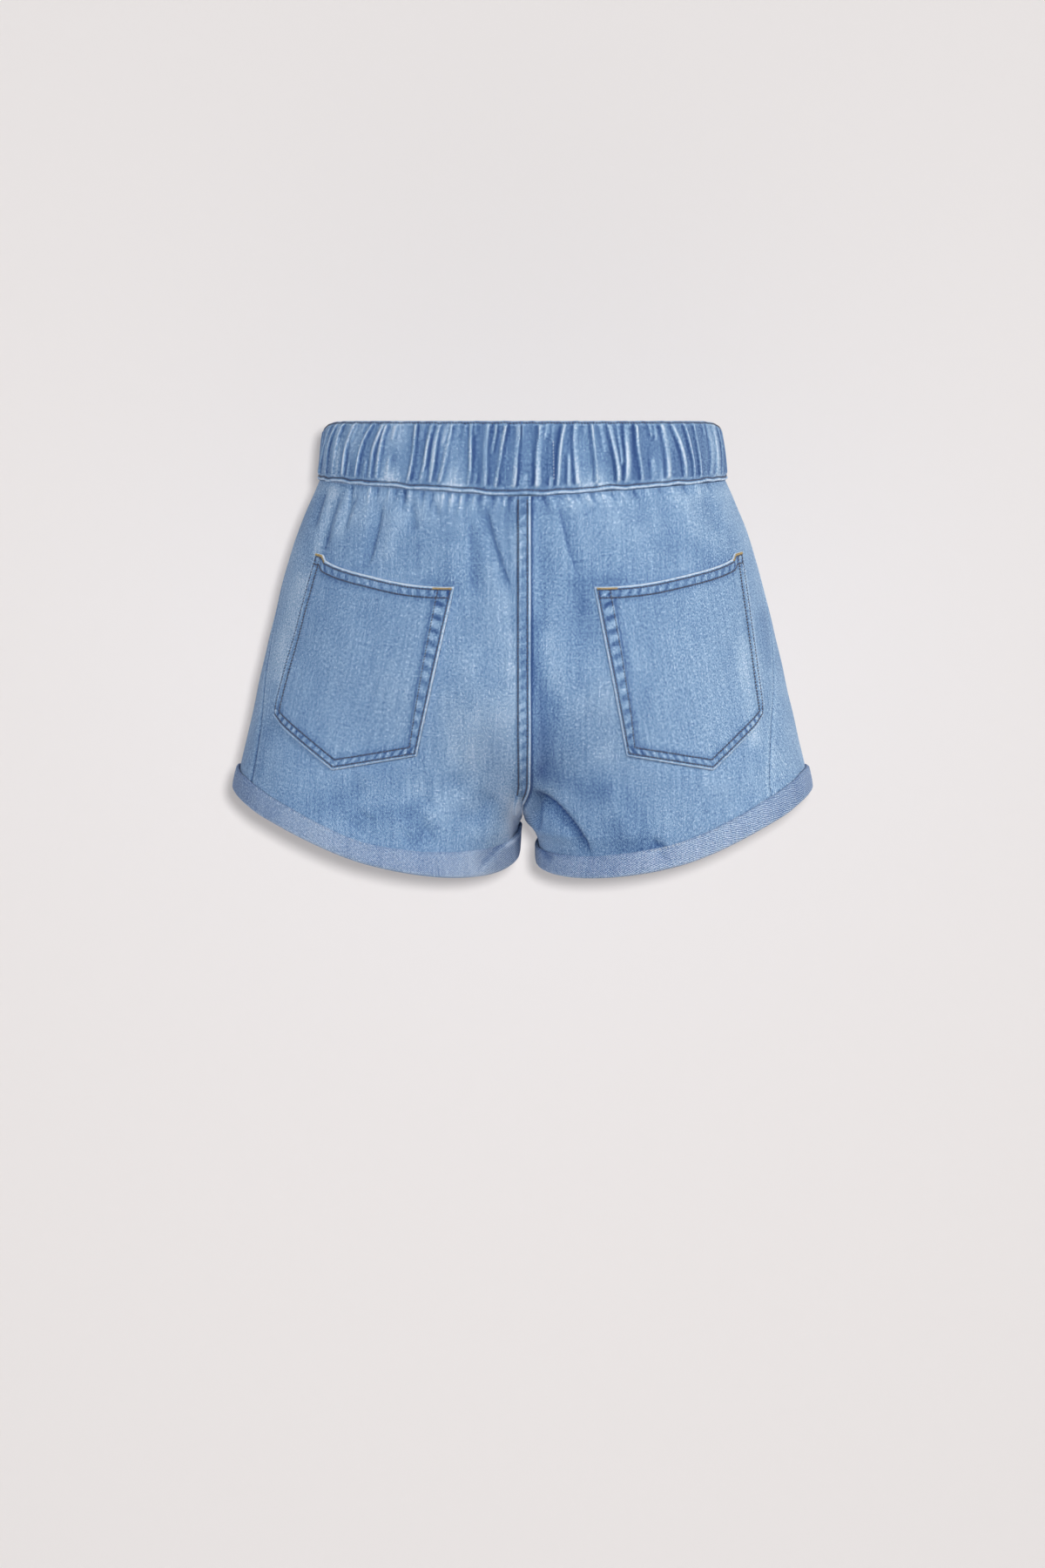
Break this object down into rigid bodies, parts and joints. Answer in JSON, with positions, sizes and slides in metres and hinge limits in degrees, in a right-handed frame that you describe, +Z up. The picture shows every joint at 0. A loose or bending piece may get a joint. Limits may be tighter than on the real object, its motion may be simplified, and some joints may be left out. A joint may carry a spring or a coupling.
{
  "type": "denim shorts",
  "caption": "Short denim shorts with a gathered elastic waistband, patch back pockets, a felled seat seam and turned-up hems, filled out as if worn.",
  "frame": {"origin": "middle of the waist opening, at half the height of the waistband's sides, where a waist holds the garment", "axes": "+Z up, +Y to the wearer's front, +X to the wearer's right"},
  "size_m": [0.4194, 0.2261, 0.3222],
  "materials": {
    "waistband_denim": "worn indigo denim, gathered",
    "back_left_denim": "worn indigo denim",
    "back_right_denim": "worn indigo denim",
    "front_left_denim": "worn indigo denim",
    "front_right_denim": "worn indigo denim",
    "pocket_left_denim": "worn indigo denim",
    "pocket_right_denim": "worn indigo denim",
    "cuff_left_denim": "wrong side of the denim, paler",
    "cuff_right_denim": "wrong side of the denim, paler",
    "seat_seam_denim": "worn indigo denim, folded edge",
    "front_seam_denim": "worn indigo denim, folded edge"
  },
  "bodies": {
    "root": {"waistband": "waistband_denim", "back_left": "back_left_denim", "back_right": "back_right_denim", "front_left": "front_left_denim", "front_right": "front_right_denim", "pocket_left": "pocket_left_denim", "pocket_right": "pocket_right_denim", "cuff_left": "cuff_left_denim", "cuff_right": "cuff_right_denim", "seat_seam": "seat_seam_denim", "front_seam": "front_seam_denim"}
  },
  "joints": []
}
